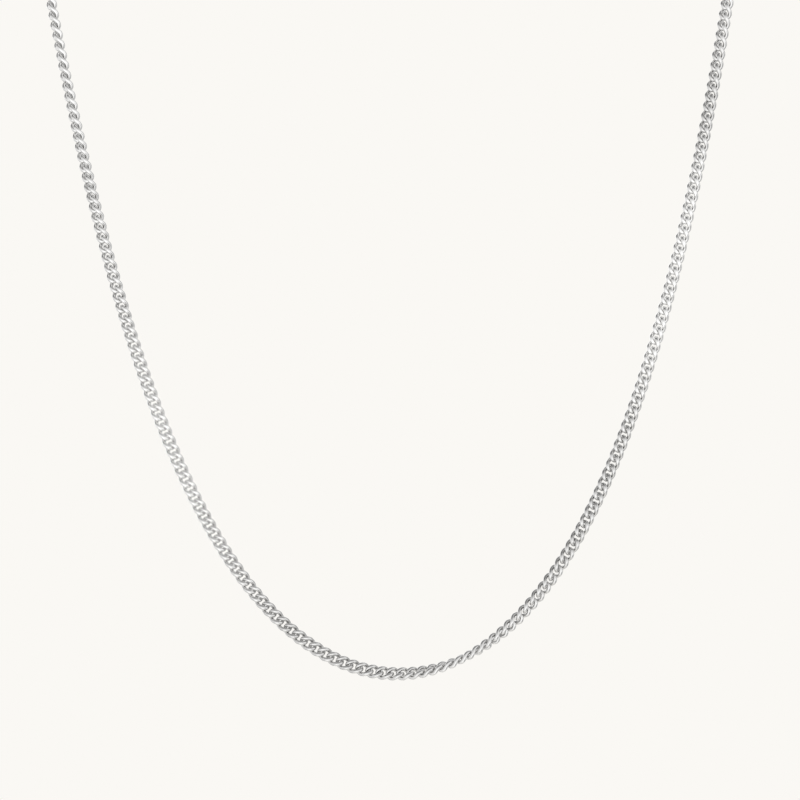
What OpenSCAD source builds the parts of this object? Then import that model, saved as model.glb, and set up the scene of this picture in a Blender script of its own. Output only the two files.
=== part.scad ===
// A curb chain necklace that hangs as it is worn: two half chains of interlocking
// twisted links, closed at the back by a ring clasp with a ring on each side of it.
// Millimetres. +Z is up and the front faces -Y. The origin is the middle of the back
// of the loop, where the chain rests on the nape.

/* [Loop] */
// Number of links in the whole chain, half of them on each side
link_count = 246; // [236:2:250]
// Radius of the hanging front curve at its lowest point
hang_radius = 24.1; // [23:0.1:27]
// Half the width of the front curve at its two upper ends
front_half_w = 59.6; // [57:0.1:60]
// Distance from the back of the loop to the front curve
neck_depth = 36.5; // [34:0.5:42]
// Height of the back of the loop above the ends of the front curve
nape_rise = 18; // [14:1:22]

/* [Link] */
// Overall width of a link
link_w = 2.44; // [2.42:0.01:2.56]
// Diameter of the wire
wire_d = 0.68; // [0.5:0.01:0.68]
// Distance from the middle of a link to the middle of the wire at its end
link_reach = 1.36; // [1.34:0.01:1.38]
// Turn of a link's ends out of its face
end_turn = 58; // [56:1:60]
// Slope of the wire at the middle of a link's side
side_slope = 55; // [54:1:58]

/* [Clasp] */
// Outer diameter of the rings beside the clasp
ring_d = 3.4; // [3.2:0.1:3.8]
// Diameter of their wire
ring_wire = 0.5; // [0.4:0.05:0.5]
// Outer diameter of the clasp's hoop
hoop_d = 6; // [5.6:0.1:6.4]
// Diameter of the hoop's bar
hoop_wire = 0.9; // [0.8:0.1:1.2]
// Outer diameter of the clasp's eye
eye_d = 2.4; // [2.2:0.1:2.6]

/* [Hidden] */

// Clear distance along the chain between pieces that hook into each other
piece_gap = 0.3;
// How far the clasp's hoop and eye stand apart, and how thick its neck is beside their wire
neck_clear = 0.1;
neck_share = 0.88;
// How far down the front the faces' roll is counted from, as a share of its depth
roll_height = 1 / 3;
// Smooth circles
arc_fn = 64;
wire_fn = 24;

// A link is drawn this much smaller and then enlarged, so that its arcs meet exactly
enlarge = 20;
// Below this the two ends of a pair of arcs count as parallel
parallel = 0.0001;

// How the links' faces turn along the chain. Columns: distance along the chain from its
// lowest point, left side negative, and the roll of the face, 0 when flat to the front.
FACE_ROLL = [
    [-229, 90],
    [-170, 77],
    [-132, 65],
    [-118, 54],
    [-104, 40],
    [-90, 26],
    [-76, 12],
    [-62, -1],
    [-51, -6],
    [-41, -7],
    [-14, -9],
    [-6, -26],
    [1, -50],
    [8, -82],
    [15, -112],
    [22, -136],
    [36, -164],
    [44, -185],
    [57, -198],
    [66, -200],
    [80, -207],
    [93, -214],
    [107, -220],
    [120, -223],
    [128, -229],
    [170, -250],
    [229, -270]
];

wire_r = wire_d / 2;
// The wire's middle line at the side of a link
side_reach = (link_w - wire_d) / 2;
ring_r = (ring_d - ring_wire) / 2;
hoop_r = (hoop_d - hoop_wire) / 2;
eye_r = (eye_d - ring_wire) / 2;
// The neck that joins the clasp's eye to its hoop
neck_d = neck_share * ring_wire;
neck_l = (hoop_wire + ring_wire) / 2 + neck_clear;

function sinh(x) = (exp(x) - exp(-x)) / 2;
function asinh(x) = ln(x + sqrt(x * x + 1));
function unit(v) = v / norm(v);
function flip(v) = [-v[0], v[1], v[2]];

// An arc is [centre, radius, way out to its start, way it starts off, angle]
CENTRE = 0;
RADIUS = 1;
OUT = 2;
WAY = 3;
ANGLE = 4;

// The arc that leaves p in the way t and ends at q
function arc_through(p, t, q) =
    let (chord = q - p,
         half = acos(t * unit(chord)),
         radius = norm(chord) / (2 * sin(half)),
         inward = unit(chord - t * (t * chord)))
    [p + radius * inward, radius, -inward, t, 2 * half];

// The two arcs that join p0 to p1 smoothly, leaving in the way t0 and arriving in t1
function handle_length(v, t0, t1) =
    let (k = 2 * (1 - t0 * t1),
         s = v * (t0 + t1))
    k < parallel ? v * v / (4 * (v * t0)) : (sqrt(s * s + k * (v * v)) - s) / k;
function two_arcs(p0, t0, p1, t1) =
    let (handle = handle_length(p1 - p0, t0, t1),
         joint = (p0 + p1 + handle * (t0 - t1)) / 2,
         way = unit(p1 - handle * t1 - p0 - handle * t0))
    [arc_through(p0, t0, joint), arc_through(joint, way, p1)];

function arc_length(arc) = arc[RADIUS] * arc[ANGLE] * PI / 180;
function arc_place(arc, along) =
    let (turn = along / arc[RADIUS] * 180 / PI)
    [arc[CENTRE] + arc[RADIUS] * (cos(turn) * arc[OUT] + sin(turn) * arc[WAY]),
     cos(turn) * arc[WAY] - sin(turn) * arc[OUT]];

// The front curve is a hanging chain's own curve, in the plane y = -neck_depth
front_length = hang_radius * sinh(front_half_w / hang_radius);
front_height = sqrt(hang_radius * hang_radius + front_length * front_length) - hang_radius;
front_drop = front_height + nape_rise;
function front_place(along) =
    let (w = along / hang_radius)
    [[hang_radius * asinh(w), -neck_depth, hang_radius * (sqrt(1 + w * w) - 1) - front_drop],
     unit([1, 0, w])];

// From its ends the loop goes up and round to the nape in two arcs a side
front_end = front_place(front_length);
nape = [0, 0, 0];
nape_way = [-1, 0, 0];
back_arcs = two_arcs(front_end[0], front_end[1], nape, nape_way);
bend_length = arc_length(back_arcs[0]);
half_length = front_length + bend_length + arc_length(back_arcs[1]);

// The middle line of the chain: place and way at a distance from its lowest point
function right_place(along) =
    along <= front_length ? front_place(along)
    : along <= front_length + bend_length ? arc_place(back_arcs[0], along - front_length)
    : arc_place(back_arcs[1], along - front_length - bend_length);
function left_place(along) =
    let (twin = right_place(-along))
    [flip(twin[0]), -flip(twin[1])];
function place(along) = along < 0 ? left_place(along) : right_place(along);

// A point inside the loop that the faces' roll is counted from
loop_middle = [0, -neck_depth, -front_drop * roll_height];

// The setting of a piece: x along the chain, y and z turned round it by the roll
function setting(along) =
    let (at = place(along),
         way = at[1],
         to_middle = loop_middle - at[0],
         inner = unit(to_middle - way * (way * to_middle)),
         front = cross(way, inner),
         roll = lookup(along, FACE_ROLL),
         y = cos(roll) * inner + sin(roll) * front,
         z = cos(roll) * front - sin(roll) * inner)
    [for (i = [0 : 2]) [way[i], y[i], z[i], at[0][i]]];

// Places of the closing pieces, counted from the middle of the last link on the right
ring_seat = (wire_d + ring_wire) / 2 + piece_gap;
clasp_ring_at = link_reach - ring_seat + ring_r;
eye_at = clasp_ring_at + ring_r - ring_wire - piece_gap + eye_r;
hoop_at = eye_at + eye_r + neck_l + hoop_r;
end_ring_at = hoop_at + hoop_r - (hoop_wire + ring_wire) / 2 - piece_gap + ring_r;
closing_length = end_ring_at + ring_r - ring_seat + link_reach;

// What is left of the loop is shared out evenly among the links
pitch = (2 * half_length - closing_length) / (link_count - 1);
last_link = half_length - closing_length / 2;

// A quarter of a link's middle line, from its end to the middle of its side
link_end = [link_reach, 0, 0] / enlarge;
link_side = [0, side_reach, 0] / enlarge;
end_way = [0, cos(end_turn), -sin(end_turn)];
side_way = [-cos(side_slope), 0, sin(side_slope)];
quarter_arcs = two_arcs(link_end, end_way, link_side, side_way);
quarter_turns = [[0, 0, 0], [180, 0, 0], [0, 180, 0], [0, 0, 180]];

module wire_arc(arc, radius) {
    x = arc[OUT];
    y = arc[WAY];
    z = cross(x, y);
    c = arc[CENTRE];
    multmatrix([for (i = [0 : 2]) [x[i], y[i], z[i], c[i]]])
        rotate_extrude(angle = arc[ANGLE], $fn = arc_fn)
            translate([arc[RADIUS], 0])
                circle(r = radius, $fn = wire_fn);
}

module link() {
    scale(enlarge)
        union()
            for (turn = quarter_turns)
                rotate(turn)
                    for (arc = quarter_arcs)
                        wire_arc(arc, wire_r / enlarge);
}

module hoop(radius, wire) {
    rotate_extrude($fn = arc_fn)
        translate([radius, 0])
            circle(d = wire, $fn = wire_fn);
}

// Half of the chain: side is 1 on the right and -1 on the left
module half_chain(side) {
    for (i = [1 : link_count / 2])
        multmatrix(setting(side * (i - 0.5) * pitch))
            link();
}

module chain_left() {
    color("silver") half_chain(-1);
}

module chain_right() {
    color("silver") half_chain(1);
}

// Each ring stands square to the end of the link that it hooks through
module clasp_ring() {
    color("silver")
        multmatrix(setting(last_link + clasp_ring_at))
            rotate([90 - end_turn, 0, 0])
                hoop(ring_r, ring_wire);
}

module end_ring() {
    color("silver")
        multmatrix(setting(-last_link - closing_length + end_ring_at))
            rotate([end_turn - 90, 0, 0])
                hoop(ring_r, ring_wire);
}

module clasp() {
    eye_x = eye_at - closing_length / 2;
    hoop_x = hoop_at - closing_length / 2;
    color("silver")
        multmatrix(setting(half_length))
            rotate([90, 0, 0])
                union() {
                    translate([eye_x, 0, 0])
                        hoop(eye_r, ring_wire);
                    translate([eye_x + eye_r, 0, 0])
                        rotate([0, 90, 0])
                            cylinder(d = neck_d, h = neck_l, $fn = wire_fn);
                    translate([hoop_x, 0, 0])
                        hoop(hoop_r, hoop_wire);
                }
}

chain_left();
chain_right();
clasp();
clasp_ring();
end_ring();
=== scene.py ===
"""Looks of a silver curb chain necklace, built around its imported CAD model.

The chain hangs as it is worn, held up at the nape. Each half of it is one piece of
interlocking twisted links, and a ring clasp with a ring on each side closes it at the back.
Lengths are in metres and angles in degrees. Z is up, the front faces -Y, and the origin is
the middle of the back of the loop.
"""

import logging
import math
import random
from dataclasses import dataclass, field
from enum import Enum

import bmesh
import bpy
from mathutils import Matrix, Vector
from mathutils.bvhtree import BVHTree


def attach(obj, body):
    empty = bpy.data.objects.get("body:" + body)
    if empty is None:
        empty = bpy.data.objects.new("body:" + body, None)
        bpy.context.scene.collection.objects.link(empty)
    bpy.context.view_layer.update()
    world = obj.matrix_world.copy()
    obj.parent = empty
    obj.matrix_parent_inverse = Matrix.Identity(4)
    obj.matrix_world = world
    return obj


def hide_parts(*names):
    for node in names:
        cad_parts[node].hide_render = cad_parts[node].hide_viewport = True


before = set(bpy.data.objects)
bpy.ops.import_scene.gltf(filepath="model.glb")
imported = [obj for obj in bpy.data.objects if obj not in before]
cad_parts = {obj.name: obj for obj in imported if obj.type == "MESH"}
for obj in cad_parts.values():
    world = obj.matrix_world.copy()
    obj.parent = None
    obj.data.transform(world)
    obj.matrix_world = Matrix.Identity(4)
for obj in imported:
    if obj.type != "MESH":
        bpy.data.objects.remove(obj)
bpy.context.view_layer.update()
LOG = logging.getLogger("curb_chain")

MM = 0.001
X_AXIS = Vector((1, 0, 0))
Z_AXIS = Vector((0, 0, 1))

Colour = tuple[float, float, float]


class Side(Enum):
    """A half of the chain, and the sign of its distances from the lowest point."""

    LEFT = -1
    RIGHT = 1


class Layer(Enum):
    """Attributes that the finishes read."""

    CLOSE = "closeness"
    PATINA = "patina"


class Body(Enum):
    """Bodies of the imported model."""

    ROOT = "root"


class Slot(Enum):
    """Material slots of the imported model."""

    LINKS = "link_silver"
    CLASP = "clasp_silver"


def at_point(turn: Matrix, point: Vector) -> Matrix:
    """Put a turned frame at a point.

    Args:
        turn: 3x3 matrix of the frame's axes.
        point: where its origin goes.

    Returns:
        The 4x4 matrix.
    """
    return Matrix.Translation(point) @ turn.to_4x4()


def between(rows: tuple[tuple[float, float], ...], here: float) -> float:
    """Look up a value in rows of places and values, evenly between two rows.

    Args:
        rows: the rows, by rising place.
        here: the place.

    Returns:
        The value there, that of the nearest row beyond either end.
    """
    for (start, low), (end, high) in zip(rows, rows[1:]):
        if here <= end:
            share = max(0.0, (here - start) / (end - start))
            return low + share * (high - low)
    return rows[-1][1]


def closeness(gap: float, hollow: float) -> float:
    """Say how close a gap is: 1 where pieces touch, 0 from the width of a hollow upwards."""
    return max(0.0, min(1.0, 1 - gap / hollow))


def grow_ring(
    shape: bmesh.types.BMesh, edges: list[bmesh.types.BMEdge]
) -> tuple[list[bmesh.types.BMVert], list[bmesh.types.BMEdge]]:
    """Extrude a ring of edges, ready to be moved.

    Args:
        shape: the bmesh that the ring is in.
        edges: the ring's edges.

    Returns:
        The new ring's vertices and edges.
    """
    grown = bmesh.ops.extrude_edge_only(shape, edges=edges)["geom"]
    verts = [item for item in grown if isinstance(item, bmesh.types.BMVert)]
    ends = set(verts)
    rims = [item for item in grown if isinstance(item, bmesh.types.BMEdge)]
    return verts, [edge for edge in rims if ends.issuperset(edge.verts)]


@dataclass(frozen=True)
class Arc:
    """A stretch of a circle, from centre + radius * out, setting off in the way given."""

    centre: Vector
    radius: float
    out: Vector
    way: Vector
    angle: float

    @classmethod
    def through(cls, start: Vector, way: Vector, end: Vector) -> "Arc":
        """Find the arc that leaves a point in a given way and ends at another point.

        Args:
            start: where the arc starts.
            way: unit vector in which it sets off.
            end: where it ends.

        Returns:
            The arc.
        """
        chord = end - start
        half = math.acos(max(-1.0, min(1.0, way.dot(chord.normalized()))))
        radius = chord.length / (2 * math.sin(half))
        inward = (chord - way * way.dot(chord)).normalized()
        return cls(start + radius * inward, radius, -inward, way, 2 * half)

    @property
    def length(self) -> float:
        """Length of the arc."""
        return self.radius * self.angle

    def place(self, along: float) -> tuple[Vector, Vector]:
        """Find a point of the arc.

        Args:
            along: distance from the arc's start.

        Returns:
            The point, and the unit vector of the way there.
        """
        turn = along / self.radius
        spoke = math.cos(turn) * self.out + math.sin(turn) * self.way
        way = math.cos(turn) * self.way - math.sin(turn) * self.out
        return self.centre + self.radius * spoke, way


def two_arcs(start: Vector, start_way: Vector, end: Vector, end_way: Vector) -> list[Arc]:
    """Join two points smoothly with two arcs.

    Args:
        start: where the first arc starts.
        start_way: unit vector in which it sets off.
        end: where the second arc ends.
        end_way: unit vector in which it arrives.

    Returns:
        The two arcs.
    """
    gap = end - start
    bend = 2 * (1 - start_way.dot(end_way))
    run = gap.dot(start_way + end_way)
    handle = (math.sqrt(run * run + bend * gap.dot(gap)) - run) / bend
    joint = (start + end + handle * (start_way - end_way)) / 2
    way = (end - handle * end_way - start - handle * start_way).normalized()
    return [Arc.through(start, start_way, joint), Arc.through(joint, way, end)]


@dataclass
class LoopPath:
    """The middle line of the whole necklace, by distance from its lowest point.

    The front is a hanging chain's own curve in one plane. From its ends the loop goes up
    and round to the nape in two arcs a side.
    """

    hang_radius: float = 24.1 * MM
    front_half_w: float = 59.6 * MM
    neck_depth: float = 36.5 * MM
    nape_rise: float = 18 * MM
    middle_height: float = 1 / 3
    # Distance from the lowest point, left side negative, in mm, and the roll of the face
    # there, 0 when it lies flat to the front
    face_roll: tuple[tuple[float, float], ...] = (
        (-229, 90),
        (-170, 77),
        (-132, 65),
        (-118, 54),
        (-104, 40),
        (-90, 26),
        (-76, 12),
        (-62, -1),
        (-51, -6),
        (-41, -7),
        (-14, -9),
        (-6, -26),
        (1, -50),
        (8, -82),
        (15, -112),
        (22, -136),
        (36, -164),
        (44, -185),
        (57, -198),
        (66, -200),
        (80, -207),
        (93, -214),
        (107, -220),
        (120, -223),
        (128, -229),
        (170, -250),
        (229, -270),
    )
    front_length: float = field(init=False)
    drop: float = field(init=False)
    back_arcs: list[Arc] = field(init=False)
    half_length: float = field(init=False)

    def __post_init__(self) -> None:
        """Work out the lengths and the arcs at the back."""
        self.front_length = self.hang_radius * math.sinh(self.front_half_w / self.hang_radius)
        front_height = math.hypot(self.hang_radius, self.front_length) - self.hang_radius
        self.drop = front_height + self.nape_rise
        corner, way = self.front_place(self.front_length)
        self.back_arcs = two_arcs(corner, way, Vector(), -X_AXIS)
        self.half_length = self.front_length + sum(arc.length for arc in self.back_arcs)

    def front_place(self, along: float) -> tuple[Vector, Vector]:
        """Find a point of the hanging front curve.

        Args:
            along: distance from the lowest point.

        Returns:
            The point, and the unit vector of the way there.
        """
        slope = along / self.hang_radius
        rise = self.hang_radius * (math.hypot(1, slope) - 1)
        point = Vector((self.hang_radius * math.asinh(slope), -self.neck_depth, rise - self.drop))
        return point, Vector((1, 0, slope)).normalized()

    def place(self, along: float) -> tuple[Vector, Vector]:
        """Find a point of the loop.

        Args:
            along: distance from the lowest point, negative on the left.

        Returns:
            The point, and the unit vector of the way there.
        """
        if along < 0:
            point, way = self.place(-along)
            return Vector((-point.x, point.y, point.z)), Vector((way.x, -way.y, -way.z))
        if along <= self.front_length:
            return self.front_place(along)
        along -= self.front_length
        bend, back = self.back_arcs
        return bend.place(along) if along <= bend.length else back.place(along - bend.length)

    def roll(self, along: float) -> float:
        """Look up the roll of the chain's face, in degrees, at a distance along it."""
        return between(self.face_roll, along / MM)

    def setting(self, along: float) -> Matrix:
        """Set a piece on the loop: x along the chain, y and z turned round it by the roll.

        Args:
            along: distance from the lowest point, negative on the left.

        Returns:
            The matrix that puts the piece there.
        """
        point, way = self.place(along)
        middle = Vector((0, -self.neck_depth, -self.drop * self.middle_height))
        to_middle = middle - point
        inner = (to_middle - way * way.dot(to_middle)).normalized()
        front = way.cross(inner)
        roll = math.radians(self.roll(along))
        y = math.cos(roll) * inner + math.sin(roll) * front
        z = math.cos(roll) * front - math.sin(roll) * inner
        return at_point(Matrix((way, y, z)).transposed(), point)


@dataclass(frozen=True)
class Link:
    """One twisted curb link: a closed wire of two arcs a quarter, drawn as a coarse cage.

    The cage is a few dozen faces, and one level of subdivision rounds it. Subdivision pulls
    a cage inwards, so its rings are drawn that much larger and further out.
    """

    width: float = 2.44 * MM
    wire: float = 0.71 * MM
    reach: float = 1.36 * MM
    end_turn: float = 58
    side_slope: float = 55
    rings_per_arc: int = 2
    sides: int = 6
    hollow: float = 0.5 * MM
    line_steps: int = 6
    merge: float = 0.02 * MM

    @staticmethod
    def pull(turn: float) -> float:
        """How much of its radius a circle keeps when subdivision smooths steps of that turn."""
        return (2 + math.cos(turn)) / 3

    def arcs(self) -> list[Arc]:
        """Find the wire's middle line in one quarter of the link.

        Returns:
            The two arcs from the link's end to the middle of its side.
        """
        end_turn, slope = math.radians(self.end_turn), math.radians(self.side_slope)
        return two_arcs(
            Vector((self.reach, 0, 0)),
            Vector((0, math.cos(end_turn), -math.sin(end_turn))),
            Vector((0, (self.width - self.wire) / 2, 0)),
            Vector((-math.cos(slope), 0, math.sin(slope))),
        )

    def neighbours(self, pitch: float) -> list[Vector]:
        """Find points of the middle lines of the links before and after this one.

        Args:
            pitch: distance from link to link.

        Returns:
            The points, in the link's own frame.
        """
        quarter = [
            arc.place(arc.length * step / self.line_steps)[0]
            for arc in self.arcs()
            for step in range(self.line_steps)
        ]
        turns = [Matrix.Rotation(math.pi, 3, axis) for axis in "XYZ"]
        turns.append(Matrix.Identity(3))
        ways = (-pitch * X_AXIS, pitch * X_AXIS)
        return [turn @ point + way for turn in turns for point in quarter for way in ways]

    def quarter(self) -> list[tuple[Vector, Vector]]:
        """Place the rings from the link's end to the middle of its side.

        Returns:
            The place of each ring and the way of the wire there.
        """
        arcs = self.arcs()
        stops = []
        for arc in arcs:
            grow = 1 / self.pull(arc.angle / self.rings_per_arc)
            for step in range(self.rings_per_arc):
                point, way = arc.place(arc.length * step / self.rings_per_arc)
                stops.append((arc.centre + (point - arc.centre) * grow, way))
        last = arcs[-1]
        point, way = last.place(last.length)
        grow = 1 / self.pull(last.angle / self.rings_per_arc)
        stops.append((last.centre + (point - last.centre) * grow, way))
        return stops

    def ring_settings(self) -> list[Matrix]:
        """Set the rings all the way round the link.

        Returns:
            One matrix a ring: x points away from the link's middle, z along the wire.
        """
        quarter = self.quarter()
        there, back = quarter[:-1], quarter[:0:-1]
        stops = []
        parts = ((there, None, 1), (back, "Y", -1), (there, "Z", 1), (back, "X", -1))
        for part, axis, sense in parts:
            turn = Matrix.Rotation(math.pi, 3, axis) if axis else Matrix.Identity(3)
            stops += [(turn @ point, sense * (turn @ way)) for point, way in part]
        settings = []
        for point, way in stops:
            out = (point - way * way.dot(point)).normalized()
            turn = Matrix((out, way.cross(out), way)).transposed()
            settings.append(at_point(turn, point))
        return settings

    def mesh(self, pitch: float) -> bpy.types.Mesh:
        """Draw the link's cage round its own middle.

        Args:
            pitch: distance from link to link.

        Returns:
            The cage, with the attribute that says how close each point is to the next links.
        """
        settings = self.ring_settings()
        cage = bmesh.new()
        radius = self.wire / 2 / self.pull(math.tau / self.sides)
        bmesh.ops.create_circle(cage, segments=self.sides, radius=radius, matrix=settings[0])
        edges = cage.edges[:]
        for here, following in zip(settings, settings[1:] + settings[:1]):
            verts, edges = grow_ring(cage, edges)
            bmesh.ops.transform(cage, matrix=following @ here.inverted(), verts=verts)
        bmesh.ops.remove_doubles(cage, verts=cage.verts, dist=self.merge)
        bmesh.ops.recalc_face_normals(cage, faces=cage.faces)
        # The closeness sets where the finish paints crevice shade and tarnished grey near the next
        # links.
        close = cage.verts.layers.float.new(Layer.CLOSE.value)
        others = self.neighbours(pitch)
        for vert in cage.verts:
            gap = min((vert.co - other).length for other in others) - self.wire / 2
            vert[close] = closeness(gap, self.hollow)
        mesh = bpy.data.meshes.new("link")
        cage.to_mesh(mesh)
        cage.free()
        return mesh


def finished_object(name: str, shape: bmesh.types.BMesh) -> bpy.types.Object:
    """Turn a finished bmesh into a smooth object at the origin.

    Args:
        name: the piece's name.
        shape: the bmesh, freed here.

    Returns:
        The object, linked to the scene.
    """
    for face in shape.faces:
        face.smooth = True
    mesh = bpy.data.meshes.new(name)
    shape.to_mesh(mesh)
    shape.free()
    piece = bpy.data.objects.new(name, mesh)
    bpy.context.scene.collection.objects.link(piece)
    return piece


def rounded(piece: bpy.types.Object, levels: int = 1) -> None:
    """Add a Subdivision modifier to a piece.

    Args:
        piece: the piece.
        levels: how often its faces are divided.
    """
    modifier = piece.modifiers.new("round", "SUBSURF")
    modifier.levels = levels
    modifier.render_levels = levels


@dataclass
class HalfChain:
    """Half of the chain: a run of interlocking links from the lowest point to the clasp."""

    side: Side
    path: LoopPath
    pitch: float
    count: int = 123
    link: Link = field(default_factory=Link)
    seed: int = 11
    stray: float = 0.2
    # Distance from the lowest point in mm, left side negative, and how dull the links are there
    dulled: tuple[tuple[float, float], ...] = (
        (-229, 0.4),
        (-129, 0.3),
        (-108, 0.5),
        (-87, 0.35),
        (-65, 0.05),
        (-44, 0.25),
        (-23, 0.8),
        (-2, 0.75),
        (19, 0.6),
        (40, 0.75),
        (61, 0.65),
        (77, 0.0),
        (95, 0.0),
        (108, 0.2),
        (118, 0.8),
        (140, 0.5),
        (229, 0.4),
    )

    @property
    def name(self) -> str:
        """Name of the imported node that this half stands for."""
        return f"chain_{self.side.name.lower()}"

    def patina(self, along: float, chance: random.Random) -> float:
        """Choose how dull a link is.

        Args:
            along: its distance from the lowest point, negative on the left.
            chance: the source of small differences from link to link.

        Returns:
            A share from 0, bright all over, to 1.
        """
        share = between(self.dulled, along / MM) + self.stray * (chance.random() - 0.5)
        return max(0.0, min(1.0, share))

    def build(self) -> bpy.types.Object:
        """Copy the link along the path.

        Returns:
            The half chain, one joined piece.
        """
        template = self.link.mesh(self.pitch)
        chance = random.Random(self.seed + self.side.value)
        shape = bmesh.new()
        shape.verts.layers.float.new(Layer.PATINA.value)
        for number in range(self.count):
            before = len(shape.verts)
            shape.from_mesh(template)
            shape.verts.ensure_lookup_table()
            patina = shape.verts.layers.float[Layer.PATINA.value]
            verts = shape.verts[before:]
            along = self.side.value * (number + 0.5) * self.pitch
            bmesh.ops.transform(shape, matrix=self.path.setting(along), verts=verts)
            share = self.patina(along, chance)
            for vert in verts:
                vert[patina] = share
        bpy.data.meshes.remove(template)
        piece = finished_object(f"{self.name}_links", shape)
        rounded(piece)
        return piece

    def dress(self, piece: bpy.types.Object, finish: "Silver") -> None:
        """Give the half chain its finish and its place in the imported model.

        Args:
            piece: the half chain.
            finish: its finish.
        """
        piece.data.materials.append(finish.material())
        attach(piece, Body.ROOT.value)
        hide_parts(self.name)


@dataclass(frozen=True)
class Hoop:
    """A closed ring of round wire."""

    diameter: float
    wire: float
    sides: int = 20
    steps: int = 72

    @property
    def radius(self) -> float:
        """Radius of the wire's middle line."""
        return (self.diameter - self.wire) / 2

    def build(self, name: str, setting: Matrix) -> bpy.types.Object:
        """Spin the ring.

        Args:
            name: the piece's name.
            setting: where the ring goes, its axis along z.

        Returns:
            The ring.
        """
        shape = bmesh.new()
        upright = Matrix.Translation((self.radius, 0, 0)) @ Matrix.Rotation(math.pi / 2, 4, "X")
        bmesh.ops.create_circle(
            shape, segments=self.sides, radius=self.wire / 2, matrix=setting @ upright
        )
        bmesh.ops.spin(
            shape,
            geom=shape.verts[:] + shape.edges[:],
            cent=setting.translation,
            axis=setting.to_3x3() @ Z_AXIS,
            dvec=(0, 0, 0),
            angle=math.tau,
            steps=self.steps,
            use_merge=True,
            use_duplicate=False,
        )
        bmesh.ops.recalc_face_normals(shape, faces=shape.faces)
        return finished_object(name, shape)


@dataclass(frozen=True)
class Neck:
    """The short neck between the clasp's hoop and its eye, waisted like a solder joint."""

    length: float
    waist: float = 0.2 * MM
    flare: float = 0.24 * MM
    sides: int = 24
    steps: int = 10

    def radius(self, share: float) -> float:
        """Radius of the neck at a share of its length."""
        return self.waist + (self.flare - self.waist) * (2 * share - 1) ** 2

    def build(self, name: str, setting: Matrix) -> bpy.types.Object:
        """Extrude the neck step by step.

        Args:
            name: the piece's name.
            setting: where the neck starts, its axis along z.

        Returns:
            The neck, a closed piece whose ends lie inside the hoop and the eye.
        """
        shape = bmesh.new()
        bmesh.ops.create_circle(
            shape, segments=self.sides, radius=self.radius(0), matrix=setting
        )
        edges = shape.edges[:]
        stride = setting.to_3x3() @ (Z_AXIS * self.length / self.steps)
        for step in range(self.steps):
            verts, edges = grow_ring(shape, edges)
            size = self.radius((step + 1) / self.steps) / self.radius(step / self.steps)
            bmesh.ops.scale(shape, vec=(size, size, 1), space=setting.inverted(), verts=verts)
            bmesh.ops.translate(shape, vec=stride, verts=verts)
        bmesh.ops.holes_fill(shape, edges=[edge for edge in shape.edges if edge.is_boundary])
        bmesh.ops.recalc_face_normals(shape, faces=shape.faces)
        return finished_object(name, shape)


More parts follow.
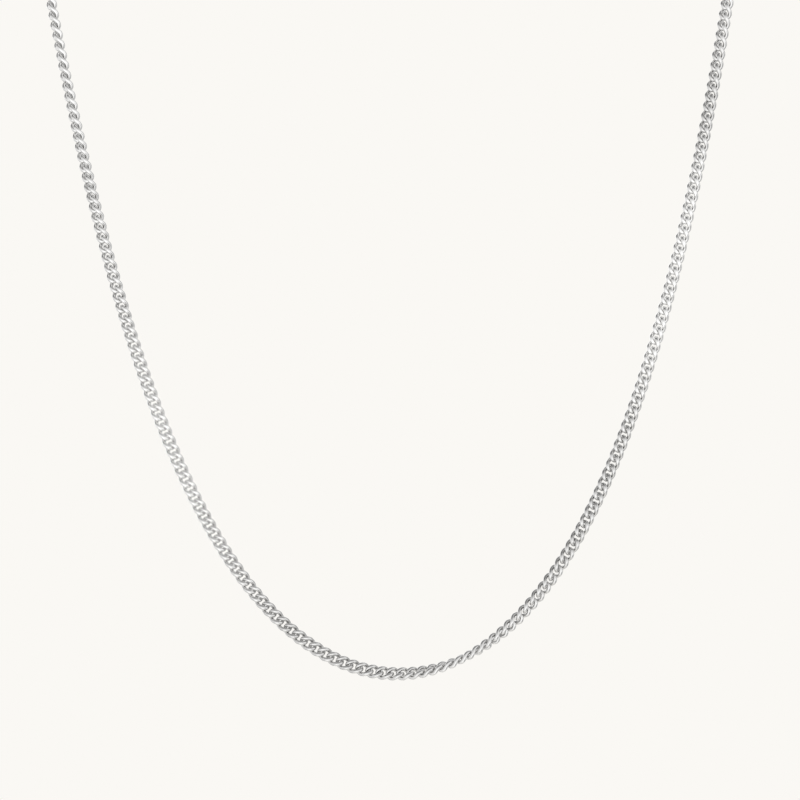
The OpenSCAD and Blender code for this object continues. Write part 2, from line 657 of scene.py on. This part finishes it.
@dataclass
class Closing:
    """The closing pieces at the nape: a ring clasp with an eye, and a ring on each side."""

    path: LoopPath
    link: Link
    side_ring: Hoop = Hoop(diameter=3.4 * MM, wire=0.5 * MM)
    hoop: Hoop = Hoop(diameter=6 * MM, wire=0.9 * MM)
    eye: Hoop = Hoop(diameter=2.4 * MM, wire=0.5 * MM)
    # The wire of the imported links, by which the closing pieces are placed
    packed_wire: float = 0.68 * MM
    clear: float = 0.3 * MM
    neck_clear: float = 0.1 * MM
    neck: Neck = field(init=False)
    clasp_ring_at: float = field(init=False)
    eye_at: float = field(init=False)
    hoop_at: float = field(init=False)
    end_ring_at: float = field(init=False)
    length: float = field(init=False)

    def __post_init__(self) -> None:
        """Work out where each piece lies, counted from the middle of the last link."""
        ring, hoop, eye = self.side_ring, self.hoop, self.eye
        seat = (self.packed_wire + ring.wire) / 2 + self.clear
        joined = (hoop.wire + eye.wire) / 2
        self.neck = Neck(joined + self.neck_clear)
        self.clasp_ring_at = self.link.reach - seat + ring.radius
        self.eye_at = self.clasp_ring_at + ring.radius - ring.wire - self.clear + eye.radius
        self.hoop_at = self.eye_at + eye.radius + self.neck.length + hoop.radius
        self.end_ring_at = self.hoop_at + hoop.radius - joined - self.clear + ring.radius
        self.length = self.end_ring_at + ring.radius - seat + self.link.reach

    def pitch(self, links: int) -> float:
        """Share out what the closing pieces leave of the loop among the links."""
        return (2 * self.path.half_length - self.length) / (links - 1)

    def ring_setting(self, along: float, lean: float) -> Matrix:
        """Set a side ring square to the end of the link that it hooks through.

        Args:
            along: its place on the loop.
            lean: its turn about the chain, in degrees.

        Returns:
            The matrix that puts the ring there.
        """
        return self.path.setting(along) @ Matrix.Rotation(math.radians(lean), 4, "X")

    def clasp(self) -> bpy.types.Object:
        """Build the clasp: a hoop, an eye and the soldered neck between them.

        Returns:
            The clasp, one closed shell.
        """
        upright = Matrix.Rotation(math.pi / 2, 4, "X")
        setting = self.path.setting(self.path.half_length) @ upright
        eye_x, hoop_x = self.eye_at - self.length / 2, self.hoop_at - self.length / 2
        forward = Matrix.Rotation(math.pi / 2, 4, "Y")
        neck_start = Matrix.Translation((eye_x + self.eye.radius, 0, 0)) @ forward
        return union(
            "ring_clasp",
            [
                self.hoop.build("clasp_hoop", setting @ Matrix.Translation((hoop_x, 0, 0))),
                self.eye.build("clasp_eye", setting @ Matrix.Translation((eye_x, 0, 0))),
                self.neck.build("clasp_neck", setting @ neck_start),
            ],
        )

    def build(self) -> list[tuple[bpy.types.Object, str]]:
        """Build the three closing pieces.

        Returns:
            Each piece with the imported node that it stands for.
        """
        last_link = self.path.half_length - self.length / 2
        lean = 90 - self.link.end_turn
        near = self.ring_setting(last_link + self.clasp_ring_at, lean)
        far = self.ring_setting(self.end_ring_at - self.length - last_link, -lean)
        built = [
            (self.clasp(), "clasp"),
            (self.side_ring.build("clasp_side_ring", near), "clasp_ring"),
            (self.side_ring.build("end_side_ring", far), "end_ring"),
        ]
        self.mark_closeness([piece for piece, _ in built])
        return built

    def mark_closeness(self, pieces: list[bpy.types.Object]) -> None:
        """Mark how close each point of the closing pieces is to a piece that rubs it; the finish
        paints tarnished grey and shade where they lie close.

        Args:
            pieces: the closing pieces.
        """
        shapes = []
        for piece in pieces:
            shape = bmesh.new()
            shape.from_mesh(piece.data)
            shapes.append(shape)
        trees = [BVHTree.FromBMesh(shape) for shape in shapes]
        for number, (piece, shape) in enumerate(zip(pieces, shapes)):
            others = trees[:number] + trees[number + 1:]
            close = shape.verts.layers.float.new(Layer.CLOSE.value)
            for vert in shape.verts:
                nearest = [tree.find_nearest(vert.co)[0] for tree in others]
                gap = min((vert.co - point).length for point in nearest)
                vert[close] = closeness(gap, self.link.hollow)
            shape.to_mesh(piece.data)
            shape.free()

    def dress(self, piece: bpy.types.Object, node: str, finish: "Silver") -> None:
        """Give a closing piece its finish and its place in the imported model.

        Args:
            piece: the closing piece.
            node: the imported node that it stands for.
            finish: its finish.
        """
        piece.data.materials.append(finish.material())
        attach(piece, Body.ROOT.value)
        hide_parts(node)


def union(name: str, parts: list[bpy.types.Object]) -> bpy.types.Object:
    """Join closed parts into one closed shell.

    Args:
        name: the joined piece's name.
        parts: the parts; all but the first are removed.

    Returns:
        The first part, with the others joined to it.
    """
    whole, *rest = parts
    for part in rest:
        modifier = whole.modifiers.new("join", "BOOLEAN")
        modifier.operation = "UNION"
        modifier.solver = "EXACT"
        modifier.object = part
    graph = bpy.context.evaluated_depsgraph_get()
    mesh = bpy.data.meshes.new_from_object(whole.evaluated_get(graph))
    whole.modifiers.clear()
    whole.data = mesh
    for part in rest:
        bpy.data.objects.remove(part)
    whole.name = name
    mesh.name = name
    return whole


class NodeTree:
    """A node tree with short calls for adding nodes and links."""

    def __init__(self, tree: bpy.types.NodeTree) -> None:
        """Start from a tree."""
        self.tree = tree

    def add(self, kind: str, **settings: object) -> bpy.types.Node:
        """Add a node.

        Args:
            kind: the node's type name.
            **settings: its properties, and its inputs by name with spaces as underscores.

        Returns:
            The node.
        """
        node = self.tree.nodes.new(kind)
        for key, value in settings.items():
            if hasattr(node, key):
                setattr(node, key, value)
            else:
                node.inputs[key.replace("_", " ")].default_value = value
        return node

    def join(self, source: bpy.types.NodeSocket, goal: bpy.types.NodeSocket) -> None:
        """Link an output to an input."""
        self.tree.links.new(source, goal)

    def feed(self, node: bpy.types.Node, name: str, value: object) -> None:
        """Set a node's input, or link an output to it.

        Args:
            node: the node.
            name: the input's name; where several share it, the one in use is meant.
            value: a number, a colour or another node's output.
        """
        socket = next(item for item in node.inputs if item.name == name and item.enabled)
        if isinstance(value, bpy.types.NodeSocket):
            self.join(value, socket)
        else:
            socket.default_value = value

    def mix(self, share: object, first: object, second: object) -> bpy.types.NodeSocket:
        """Mix two colours.

        Args:
            share: share of the second colour, a number or a socket.
            first: a colour or a socket.
            second: a colour or a socket.

        Returns:
            The mixed colour.
        """
        node = self.add("ShaderNodeMix", data_type="RGBA")
        for name, value in (("Factor", share), ("A", first), ("B", second)):
            self.feed(node, name, (*value, 1) if isinstance(value, tuple) else value)
        return next(item for item in node.outputs if item.enabled)

    def math(self, operation: str, *values: object) -> bpy.types.NodeSocket:
        """Add a Math node.

        Args:
            operation: what it does.
            *values: numbers or sockets for its inputs.

        Returns:
            Its output.
        """
        node = self.add("ShaderNodeMath", operation=operation)
        for socket, value in zip(node.inputs, values):
            if isinstance(value, bpy.types.NodeSocket):
                self.join(value, socket)
            else:
                socket.default_value = value
        return node.outputs[0]


class RubbedMetal:
    """A shader node group: fine rub marks of polishing, as a height and a roughness."""

    NAME = "rubbed_metal"
    STRETCH = (1, 1, 0.2)
    TURN = (0.6, 0.4, 0)
    MARK_DETAIL = 3.0
    MARK_ROUGHNESS = 0.6
    WEAR_DETAIL = 2.0
    WEAR_SCALE = 0.06

    @classmethod
    def group(cls) -> bpy.types.ShaderNodeTree:
        """Return the node group, built on first use."""
        known = bpy.data.node_groups.get(cls.NAME)
        return known if known else cls().build()

    def build(self) -> bpy.types.ShaderNodeTree:
        """Build the group.

        Returns:
            The group, with inputs Scale, Smooth and Rubbed, and outputs Height and Roughness.
        """
        group = bpy.data.node_groups.new(self.NAME, "ShaderNodeTree")
        for name in ("Scale", "Smooth", "Rubbed"):
            group.interface.new_socket(name, in_out="INPUT", socket_type="NodeSocketFloat")
        for name in ("Height", "Roughness"):
            group.interface.new_socket(name, in_out="OUTPUT", socket_type="NodeSocketFloat")
        nodes = NodeTree(group)
        given = nodes.add("NodeGroupInput")
        result = nodes.add("NodeGroupOutput")
        place = nodes.add("ShaderNodeTexCoord").outputs["Object"]
        stretch = nodes.add("ShaderNodeMapping", Scale=self.STRETCH, Rotation=self.TURN)
        nodes.join(place, stretch.inputs["Vector"])
        marks = nodes.add(
            "ShaderNodeTexNoise", Detail=self.MARK_DETAIL, Roughness=self.MARK_ROUGHNESS
        )
        nodes.join(stretch.outputs[0], marks.inputs["Vector"])
        nodes.join(given.outputs["Scale"], marks.inputs["Scale"])
        wear = nodes.add("ShaderNodeTexNoise", Detail=self.WEAR_DETAIL)
        nodes.join(place, wear.inputs["Vector"])
        wide = nodes.math("MULTIPLY", given.outputs["Scale"], self.WEAR_SCALE)
        nodes.join(wide, wear.inputs["Scale"])
        spread = nodes.math("SUBTRACT", given.outputs["Rubbed"], given.outputs["Smooth"])
        both = nodes.math("MULTIPLY", wear.outputs["Fac"], marks.outputs["Fac"])
        rough = nodes.math("MULTIPLY_ADD", both, spread, given.outputs["Smooth"])
        nodes.join(marks.outputs["Fac"], result.inputs["Height"])
        nodes.join(rough, result.inputs["Roughness"])
        return group


class CreviceTarnishAndShade:
    """A shader node group: a mask of the dull grey that stays where links rub each other, partly
    tarnished silver and partly painted shade of the crevices.
    """

    NAME = "crevice_tarnish_and_shade"
    STRAY = 0.3
    CLOUD_DETAIL = 2.0

    @classmethod
    def group(cls) -> bpy.types.ShaderNodeTree:
        """Return the node group, built on first use."""
        known = bpy.data.node_groups.get(cls.NAME)
        return known if known else cls().build()

    def build(self) -> bpy.types.ShaderNodeTree:
        """Build the group.

        Returns:
            The group, with inputs Depth, From, To and Scale, and the output Mask.
        """
        group = bpy.data.node_groups.new(self.NAME, "ShaderNodeTree")
        for name in ("Depth", "From", "To", "Scale"):
            group.interface.new_socket(name, in_out="INPUT", socket_type="NodeSocketFloat")
        group.interface.new_socket("Mask", in_out="OUTPUT", socket_type="NodeSocketFloat")
        nodes = NodeTree(group)
        given = nodes.add("NodeGroupInput")
        result = nodes.add("NodeGroupOutput")
        place = nodes.add("ShaderNodeTexCoord").outputs["Object"]
        cloud = nodes.add("ShaderNodeTexNoise", Detail=self.CLOUD_DETAIL)
        nodes.join(place, cloud.inputs["Vector"])
        nodes.join(given.outputs["Scale"], cloud.inputs["Scale"])
        stray = nodes.math("MULTIPLY_ADD", cloud.outputs["Fac"], self.STRAY, -self.STRAY / 2)
        depth = nodes.math("ADD", given.outputs["Depth"], stray)
        ramp = nodes.add("ShaderNodeMapRange", interpolation_type="SMOOTHSTEP")
        nodes.join(depth, ramp.inputs["Value"])
        nodes.join(given.outputs["From"], ramp.inputs["From Min"])
        nodes.join(given.outputs["To"], ramp.inputs["From Max"])
        nodes.join(ramp.outputs["Result"], result.inputs["Mask"])
        return group


@dataclass(frozen=True)
class Silver:
    """Polished silver with fine rub marks, and a grey in its hollows that is partly tarnished
    silver and partly painted shade.

    The grey, tarnished silver and painted shade, starts at the closeness hollow_from and is
    full at hollow_to. It covers a share hollow_least of the hollows of a bright link, and
    hollow_most of those of a dull one.
    """

    name: str
    bright: Colour = (0.97, 0.965, 0.955)
    dull: Colour = (0.67, 0.665, 0.655)
    # Painted shade: a dark grey laid in the hollows between links, partly tarnished silver and
    # partly the shade that falls there.
    tarnish_and_shade: Colour = (0.22, 0.22, 0.225)
    smooth: float = 0.10
    rubbed: float = 0.26
    dull_rough: float = 0.05
    rub_scale: float = 9000
    rub_depth: float = 0.0000006
    hollow_from: float = 0.4
    hollow_to: float = 0.9
    hollow_least: float = 0.25
    hollow_most: float = 0.5
    tarnish_and_shade_scale: float = 2500
    tarnish_and_shade_rough: float = 0.2

    def material(self) -> bpy.types.Material:
        """Return the material, built on first use."""
        known = bpy.data.materials.get(self.name)
        return known if known else self.build()

    def build(self) -> bpy.types.Material:
        """Build the material.

        Returns:
            The material.
        """
        material = bpy.data.materials.new(self.name)
        material.use_nodes = True
        material.node_tree.nodes.clear()
        nodes = NodeTree(material.node_tree)
        output = nodes.add("ShaderNodeOutputMaterial")
        metal = nodes.add("ShaderNodeBsdfPrincipled", Metallic=1.0)
        nodes.join(metal.outputs[0], output.inputs["Surface"])

        patina = nodes.add("ShaderNodeAttribute", attribute_name=Layer.PATINA.value)
        shade = nodes.mix(patina.outputs["Fac"], self.bright, self.dull)
        # Painted shade: near the neighbouring links the colour is pulled towards the dark grey,
        # partly tarnished silver and partly crevice shade.
        close = nodes.add("ShaderNodeAttribute", attribute_name=Layer.CLOSE.value)
        crevice = nodes.add("ShaderNodeGroup", node_tree=CreviceTarnishAndShade.group())
        nodes.feed(crevice, "Depth", close.outputs["Fac"])
        nodes.feed(crevice, "From", self.hollow_from)
        nodes.feed(crevice, "To", self.hollow_to)
        nodes.feed(crevice, "Scale", self.tarnish_and_shade_scale)
        more = self.hollow_most - self.hollow_least
        share = nodes.math("MULTIPLY_ADD", patina.outputs["Fac"], more, self.hollow_least)
        amount = nodes.math("MULTIPLY", crevice.outputs["Mask"], share)
        nodes.feed(metal, "Base Color", nodes.mix(amount, shade, self.tarnish_and_shade))

        rub = nodes.add("ShaderNodeGroup", node_tree=RubbedMetal.group())
        nodes.feed(rub, "Scale", self.rub_scale)
        nodes.feed(rub, "Smooth", self.smooth)
        nodes.feed(rub, "Rubbed", self.rubbed)
        rubbed = rub.outputs["Roughness"]
        worn = nodes.math("MULTIPLY_ADD", patina.outputs["Fac"], self.dull_rough, rubbed)
        rough = nodes.math("MULTIPLY_ADD", amount, self.tarnish_and_shade_rough, worn)
        nodes.join(rough, metal.inputs["Roughness"])
        bump = nodes.add("ShaderNodeBump", Strength=1.0, Distance=self.rub_depth)
        nodes.join(rub.outputs["Height"], bump.inputs["Height"])
        nodes.join(bump.outputs[0], metal.inputs["Normal"])
        return material


@dataclass(frozen=True)
class Softbox:
    """A soft patch of the studio's surround, seen from the chain.

    Azimuth 0 is the camera's side and 90 is to the right of the picture. The patch is full
    within the angle inner of its middle, fades out at outer, and darkens where level is below 0.
    """

    name: str
    azimuth: float
    elevation: float
    inner: float
    outer: float
    level: float

    @property
    def way(self) -> Vector:
        """Find the way to the patch.

        Returns:
            The unit vector towards its middle.
        """
        azimuth, elevation = math.radians(self.azimuth), math.radians(self.elevation)
        flat = math.cos(elevation)
        return Vector((math.sin(azimuth) * flat, -math.cos(azimuth) * flat, math.sin(elevation)))


@dataclass
class Studio:
    """A plain pale floor, a plain soft surround and the camera."""

    backdrop: Colour = (0.9559, 0.9387, 0.9047)
    light: Colour = (1, 1, 1)
    base_level: float = 0.85
    softboxes: tuple[Softbox, ...] = (
        Softbox("back_glow", azimuth=-150, elevation=20, inner=5, outer=55, level=0.4),
        Softbox("right_glow", azimuth=65, elevation=0, inner=5, outer=40, level=0.2),
        Softbox("low_front_glow", azimuth=0, elevation=-35, inner=10, outer=55, level=0.45),
        Softbox("top_shade", azimuth=-20, elevation=80, inner=10, outer=65, level=-0.5),
        Softbox("low_back_shade", azimuth=-170, elevation=-50, inner=10, outer=60, level=-0.35),
        Softbox("low_right_shade", azimuth=55, elevation=-50, inner=10, outer=35, level=-0.6),
        Softbox("right_shade", azimuth=135, elevation=5, inner=5, outer=50, level=-0.4),
        Softbox("left_shade", azimuth=-105, elevation=40, inner=10, outer=40, level=-0.5),
    )
    floor_depth: float = 0.45
    floor_radius: float = 0.2
    floor_colour: Colour = (0.93, 0.92, 0.89)
    floor_rough: float = 0.9
    floor_glow: float = 0.38
    floor_sides: int = 96
    picture_px: int = 800
    sensor: float = 36
    lens: float = 85
    px_size: float = 0.17535 * MM
    front: float = LoopPath.neck_depth
    view_right: float = 0.69 * MM
    view_up: float = -89.81 * MM
    view_roll: float = 0.874
    clip_start: float = 10 * MM

    def camera(self) -> bpy.types.Object:
        """Add the camera at the photograph's viewing angle.

        Returns:
            The camera.
        """
        data = bpy.data.cameras.new("camera")
        data.lens = self.lens
        data.sensor_width = self.sensor
        data.clip_start = self.clip_start
        camera = bpy.data.objects.new("camera", data)
        bpy.context.scene.collection.objects.link(camera)
        distance = self.lens / self.sensor * self.picture_px * self.px_size
        level = Matrix.Rotation(math.pi / 2, 4, "X")
        roll = Matrix.Rotation(math.radians(-self.view_roll), 4, "Z")
        at = Vector((self.view_right, -self.front - distance, self.view_up))
        camera.matrix_world = Matrix.Translation(at) @ level @ roll
        bpy.context.scene.camera = camera
        return camera

    def floor(self) -> bpy.types.Object:
        """Lay the pale floor below the chain, lit evenly from under its frosted top.

        Returns:
            The floor.
        """
        shape = bmesh.new()
        place = Matrix.Translation((0, 0, -self.floor_depth))
        bmesh.ops.create_circle(
            shape, segments=self.floor_sides, radius=self.floor_radius, cap_ends=True, matrix=place
        )
        floor = finished_object("floor", shape)
        material = bpy.data.materials.new("pale_floor")
        material.use_nodes = True
        shader = material.node_tree.nodes["Principled BSDF"]
        shader.inputs["Base Color"].default_value = (*self.floor_colour, 1)
        shader.inputs["Roughness"].default_value = self.floor_rough
        shader.inputs["Emission Color"].default_value = (*self.floor_colour, 1)
        shader.inputs["Emission Strength"].default_value = self.floor_glow
        floor.data.materials.append(material)
        return floor

    def surround(self) -> bpy.types.World:
        """Light the scene from a plain soft surround, behind which the backdrop is flat.

        Returns:
            The world.
        """
        world = bpy.data.worlds.new("studio")
        world.use_nodes = True
        world.node_tree.nodes.clear()
        nodes = NodeTree(world.node_tree)
        way = nodes.add("ShaderNodeTexCoord").outputs["Generated"]
        level = self.base_level
        for box in self.softboxes:
            toward = nodes.add("ShaderNodeVectorMath", operation="DOT_PRODUCT")
            nodes.join(way, toward.inputs[0])
            toward.inputs[1].default_value = box.way
            patch = nodes.add("ShaderNodeMapRange", interpolation_type="SMOOTHSTEP", name=box.name)
            nodes.feed(patch, "Value", toward.outputs["Value"])
            nodes.feed(patch, "From Min", math.cos(math.radians(box.outer)))
            nodes.feed(patch, "From Max", math.cos(math.radians(box.inner)))
            nodes.feed(patch, "To Max", box.level)
            level = nodes.math("ADD", level, patch.outputs["Result"])
        glow = nodes.add("ShaderNodeBackground", Color=(*self.light, 1))
        nodes.join(nodes.math("MAXIMUM", level, 0.0), glow.inputs["Strength"])
        flat = nodes.add("ShaderNodeBackground", Color=(*self.backdrop, 1), Strength=1.0)
        seen = nodes.add("ShaderNodeLightPath").outputs["Is Camera Ray"]
        both = nodes.add("ShaderNodeMixShader")
        nodes.join(seen, both.inputs[0])
        nodes.join(glow.outputs[0], both.inputs[1])
        nodes.join(flat.outputs[0], both.inputs[2])
        output = nodes.add("ShaderNodeOutputWorld")
        nodes.join(both.outputs[0], output.inputs["Surface"])
        bpy.context.scene.world = world
        return world

    def build(self) -> None:
        """Set up the camera, the floor and the surround."""
        self.camera()
        self.floor()
        self.surround()
        bpy.context.scene.view_settings.view_transform = "Standard"


def report(piece: bpy.types.Object) -> None:
    """Log a piece's name and how many faces its own mesh has."""
    LOG.info("%s: %d faces", piece.name, len(piece.data.polygons))


def main() -> None:
    """Build the studio, the two half chains and the closing pieces."""
    logging.basicConfig(level=logging.INFO, format="%(name)s %(message)s")
    Studio().build()
    path = LoopPath()
    link = Link()
    closing = Closing(path, link)
    pitch = closing.pitch(2 * HalfChain.count)
    link_silver = Silver("tumbled_silver")
    for side in Side:
        half = HalfChain(side, path, pitch, link=link)
        piece = half.build()
        half.dress(piece, link_silver)
        report(piece)
    # The clasp pieces get a stronger grey in their hollows, partly tarnished silver and partly
    # painted shade.
    clasp_silver = Silver(
        "rubbed_silver", bright=(0.82, 0.815, 0.805), smooth=0.08, rubbed=0.2, hollow_least=0.6
    )
    for piece, node in closing.build():
        closing.dress(piece, node, clasp_silver)
        report(piece)


if __name__ == "__main__":
    main()
